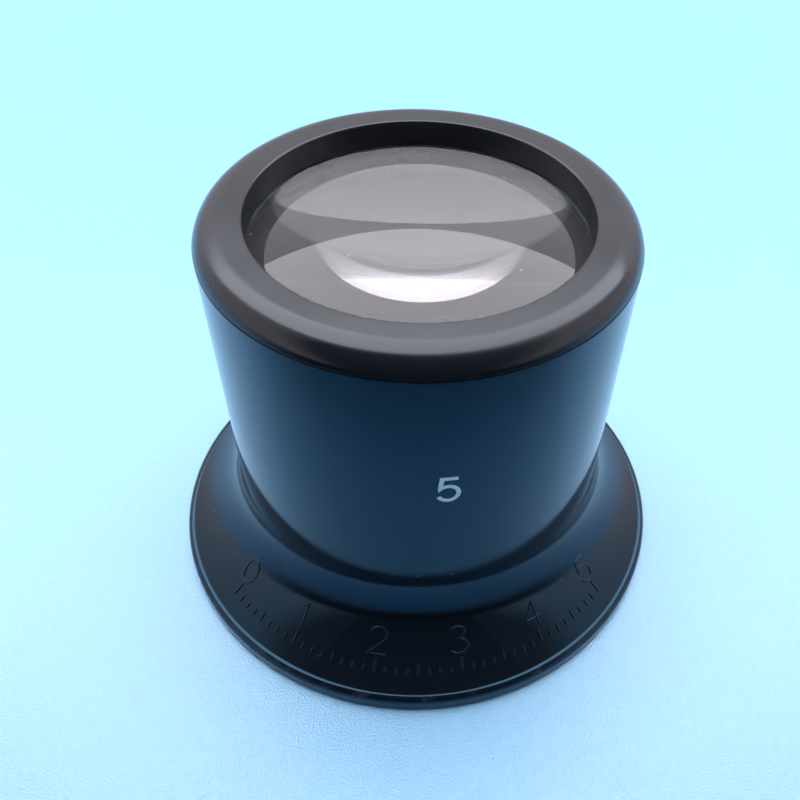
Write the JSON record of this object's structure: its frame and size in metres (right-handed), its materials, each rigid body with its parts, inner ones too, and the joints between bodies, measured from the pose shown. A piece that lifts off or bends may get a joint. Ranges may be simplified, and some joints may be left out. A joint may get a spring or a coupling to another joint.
{
  "type": "jewelers loupe",
  "caption": "Eye loupe: a black barrel flaring into a flat-rimmed eye cup, with a biconvex glass lens held under a screwed ring.",
  "frame": {"origin": "centre of the eye cup's flat rim, which the loupe stands on", "axes": "+Z along the optical axis, from the eye cup towards the lens; the printed figure faces -Y"},
  "size_m": [0.036, 0.036, 0.0276],
  "materials": {
    "shell_plastic": "polished black moulding",
    "ring_plastic": "satin gloss black moulding",
    "lens_glass": "polished optical glass",
    "print_ink": "pad-printed pale ink"
  },
  "bodies": {
    "shell": {"shell": "shell_plastic"},
    "lens": {"lens": "lens_glass"},
    "ring": {"lens_ring": "ring_plastic"}
  },
  "joints": [
    {"name": "lens_lift", "type": "slide", "parent": "shell", "child": "lens", "axis": [0, 0, 1], "range_m": [0, 0.00225]},
    {"name": "ring_turn", "type": "hinge", "parent": "lens", "child": "ring", "pos_m": [0, 0, 0.0255], "axis": [0, 0, 1], "range_deg": [0, 1080]}
  ],
  "couplings": [
    {"joint": "lens_lift", "follows": "ring_turn", "m_per_rad": 0.00011937}
  ]
}
